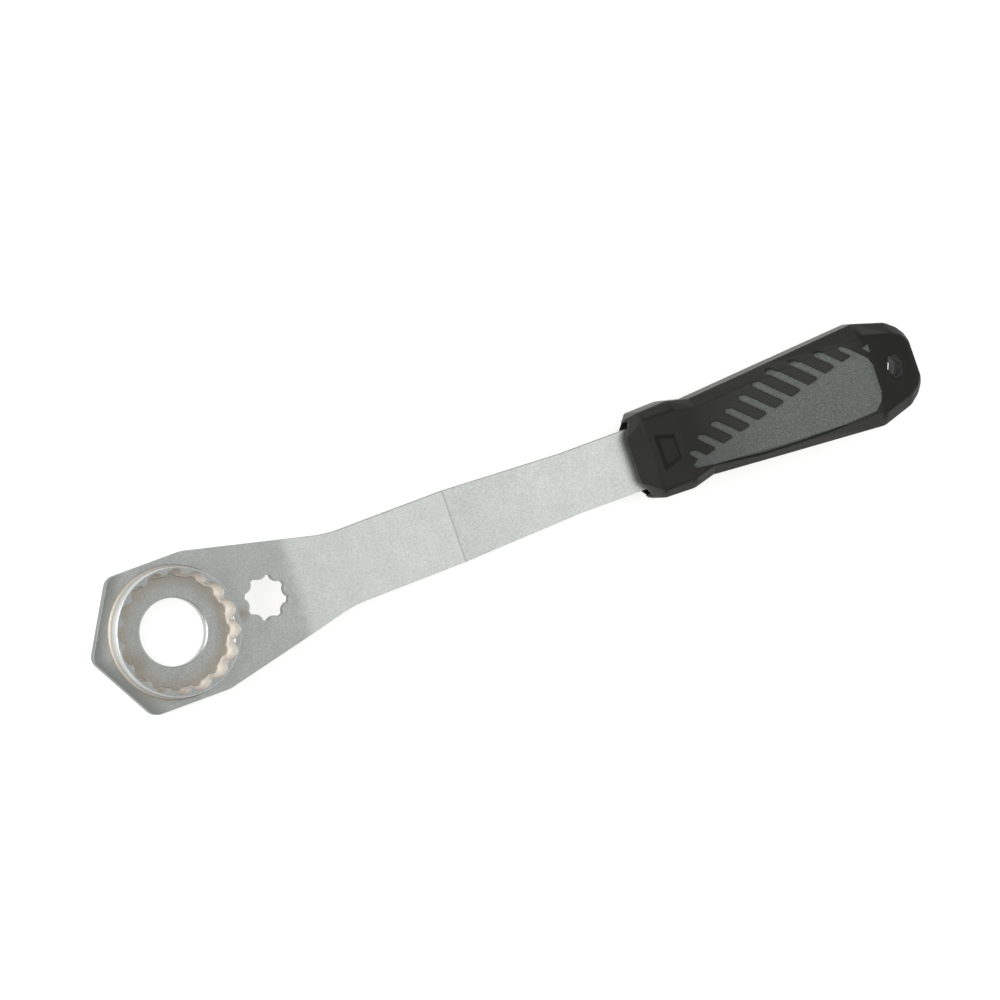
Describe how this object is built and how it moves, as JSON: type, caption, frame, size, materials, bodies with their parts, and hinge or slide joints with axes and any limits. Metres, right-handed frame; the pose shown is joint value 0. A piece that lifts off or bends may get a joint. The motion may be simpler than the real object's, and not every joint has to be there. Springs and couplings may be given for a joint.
{
  "type": "bottom bracket wrench",
  "caption": "Long-handled bottom bracket wrench: a bent steel plate with a notched socket ring and a lobed hole in its hexagonal head, and a moulded two-material grip.",
  "frame": {"origin": "centre of the spindle hole on the underside of the plate", "axes": "+Z is the socket's axis and points out of the ring's mouth, +X runs along the blade to the handle"},
  "size_m": [0.3222, 0.0518, 0.0316],
  "materials": {
    "plated_steel": "satin zinc plate",
    "ring_steel": "satin zinc plate with a warm tint in the notches",
    "grip_panel": "spark-eroded grey nylon",
    "grip_rubber": "satin black soft skin"
  },
  "bodies": {
    "root": {"blade": "plated_steel", "socket_ring": "ring_steel", "handle_core": "grip_panel", "grip_skin": "grip_rubber"}
  },
  "joints": []
}
